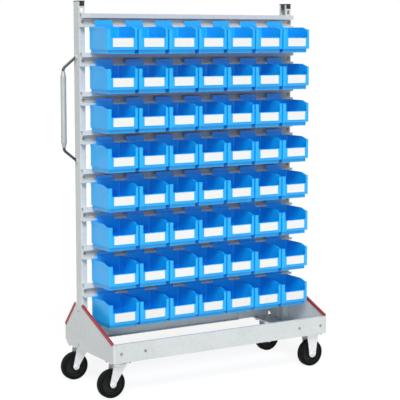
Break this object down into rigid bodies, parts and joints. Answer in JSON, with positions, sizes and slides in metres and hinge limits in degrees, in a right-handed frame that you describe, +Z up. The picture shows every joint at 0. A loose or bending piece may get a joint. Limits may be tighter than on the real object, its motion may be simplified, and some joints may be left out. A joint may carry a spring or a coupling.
{
  "type": "mobile bin cart",
  "caption": "Tall wheeled rack on a galvanised base with a push handle, carrying rows of open-fronted storage bins hooked on horizontal rails.",
  "frame": {"origin": "on the floor under the middle of the cart's box", "axes": "+Z up, +X to the right when facing the bins' open fronts, -Y towards the front"},
  "size_m": [1.2104, 0.486, 1.7],
  "materials": {
    "galvanised": "galvanised sheet with a fine grain, satin",
    "trim_red": "extruded plastic edging, semi-gloss",
    "black_plastic": "moulded plastic, matte",
    "fasteners": "zinc plated",
    "handle_rod": "plain dark steel rod, satin",
    "handle_tube": "zinc plated grip tube, satin",
    "castor_zinc": "bright zinc plated pressings",
    "wheel_hub": "moulded plastic, matte",
    "tyre": "solid rubber, matte",
    "bin_blue": "moulded plastic, smooth and slightly glossy",
    "label_card": "plain white card"
  },
  "bodies": {
    "cart": {"left_end_plate": "galvanised", "right_end_plate": "galvanised", "front_apron": "galvanised", "rear_apron": "galvanised", "left_carrier": "galvanised", "right_carrier": "galvanised", "left_post": "galvanised", "right_post": "galvanised", "rail_1": "galvanised", "rail_2": "galvanised", "rail_3": "galvanised", "rail_4": "galvanised", "rail_5": "galvanised", "rail_6": "galvanised", "rail_7": "galvanised", "rail_8": "galvanised", "edge_trims": "trim_red", "post_caps": "black_plastic", "base_screws": "fasteners", "post_bolts": "fasteners", "rail_screws": "fasteners", "handle_bolts": "fasteners", "castor_bolts": "fasteners", "swivel_pins": "fasteners", "push_handle": "handle_rod", "handle_grip": "handle_tube", "front_left_mount": "castor_zinc", "rear_left_mount": "castor_zinc", "front_right_bracket": "castor_zinc", "rear_right_bracket": "castor_zinc", "front_right_axle": "castor_zinc", "rear_right_axle": "castor_zinc"},
    "front_left_wheel": {"front_left_hub": "wheel_hub", "front_left_tyre": "tyre"},
    "rear_left_wheel": {"rear_left_hub": "wheel_hub", "rear_left_tyre": "tyre"},
    "front_right_wheel": {"front_right_hub": "wheel_hub", "front_right_tyre": "tyre"},
    "rear_right_wheel": {"rear_right_hub": "wheel_hub", "rear_right_tyre": "tyre"},
    "front_left_swivel": {"front_left_fork": "castor_zinc", "front_left_axle": "castor_zinc"},
    "rear_left_swivel": {"rear_left_fork": "castor_zinc", "rear_left_axle": "castor_zinc"},
    "bin_row_1": {"bins_row_1": "bin_blue", "labels_row_1": "label_card"},
    "bin_row_2": {"bins_row_2": "bin_blue", "labels_row_2": "label_card"},
    "bin_row_3": {"bins_row_3": "bin_blue", "labels_row_3": "label_card"},
    "bin_row_4": {"bins_row_4": "bin_blue", "labels_row_4": "label_card"},
    "bin_row_5": {"bins_row_5": "bin_blue", "labels_row_5": "label_card"},
    "bin_row_6": {"bins_row_6": "bin_blue", "labels_row_6": "label_card"},
    "bin_row_7": {"bins_row_7": "bin_blue", "labels_row_7": "label_card"},
    "bin_row_8": {"bins_row_8": "bin_blue", "labels_row_8": "label_card"}
  },
  "joints": [
    {"name": "front_left_swivel", "type": "hinge", "parent": "cart", "child": "front_left_swivel", "pos_m": [-0.47725, -0.179, 0.15], "axis": [0, 0, 1], "continuous": true},
    {"name": "front_left_roll", "type": "hinge", "parent": "front_left_swivel", "child": "front_left_wheel", "pos_m": [-0.51425, -0.179, 0.0625], "axis": [0, 1, 0], "continuous": true},
    {"name": "rear_left_swivel", "type": "hinge", "parent": "cart", "child": "rear_left_swivel", "pos_m": [-0.47725, 0.179, 0.15], "axis": [0, 0, 1], "continuous": true},
    {"name": "rear_left_roll", "type": "hinge", "parent": "rear_left_swivel", "child": "rear_left_wheel", "pos_m": [-0.51425, 0.179, 0.0625], "axis": [0, 1, 0], "continuous": true},
    {"name": "front_right_roll", "type": "hinge", "parent": "cart", "child": "front_right_wheel", "pos_m": [0.54275, -0.179, 0.0625], "axis": [0, 1, 0], "continuous": true},
    {"name": "rear_right_roll", "type": "hinge", "parent": "cart", "child": "rear_right_wheel", "pos_m": [0.54275, 0.179, 0.0625], "axis": [0, 1, 0], "continuous": true},
    {"name": "row_1_lift", "type": "slide", "parent": "cart", "child": "bin_row_1", "axis": [0, 0, 1], "range_m": [0, 0.01]},
    {"name": "row_2_lift", "type": "slide", "parent": "cart", "child": "bin_row_2", "axis": [0, 0, 1], "range_m": [0, 0.01]},
    {"name": "row_3_lift", "type": "slide", "parent": "cart", "child": "bin_row_3", "axis": [0, 0, 1], "range_m": [0, 0.01]},
    {"name": "row_4_lift", "type": "slide", "parent": "cart", "child": "bin_row_4", "axis": [0, 0, 1], "range_m": [0, 0.01]},
    {"name": "row_5_lift", "type": "slide", "parent": "cart", "child": "bin_row_5", "axis": [0, 0, 1], "range_m": [0, 0.01]},
    {"name": "row_6_lift", "type": "slide", "parent": "cart", "child": "bin_row_6", "axis": [0, 0, 1], "range_m": [0, 0.01]},
    {"name": "row_7_lift", "type": "slide", "parent": "cart", "child": "bin_row_7", "axis": [0, 0, 1], "range_m": [0, 0.01]},
    {"name": "row_8_lift", "type": "slide", "parent": "cart", "child": "bin_row_8", "axis": [0, 0, 1], "range_m": [0, 0.01]}
  ]
}
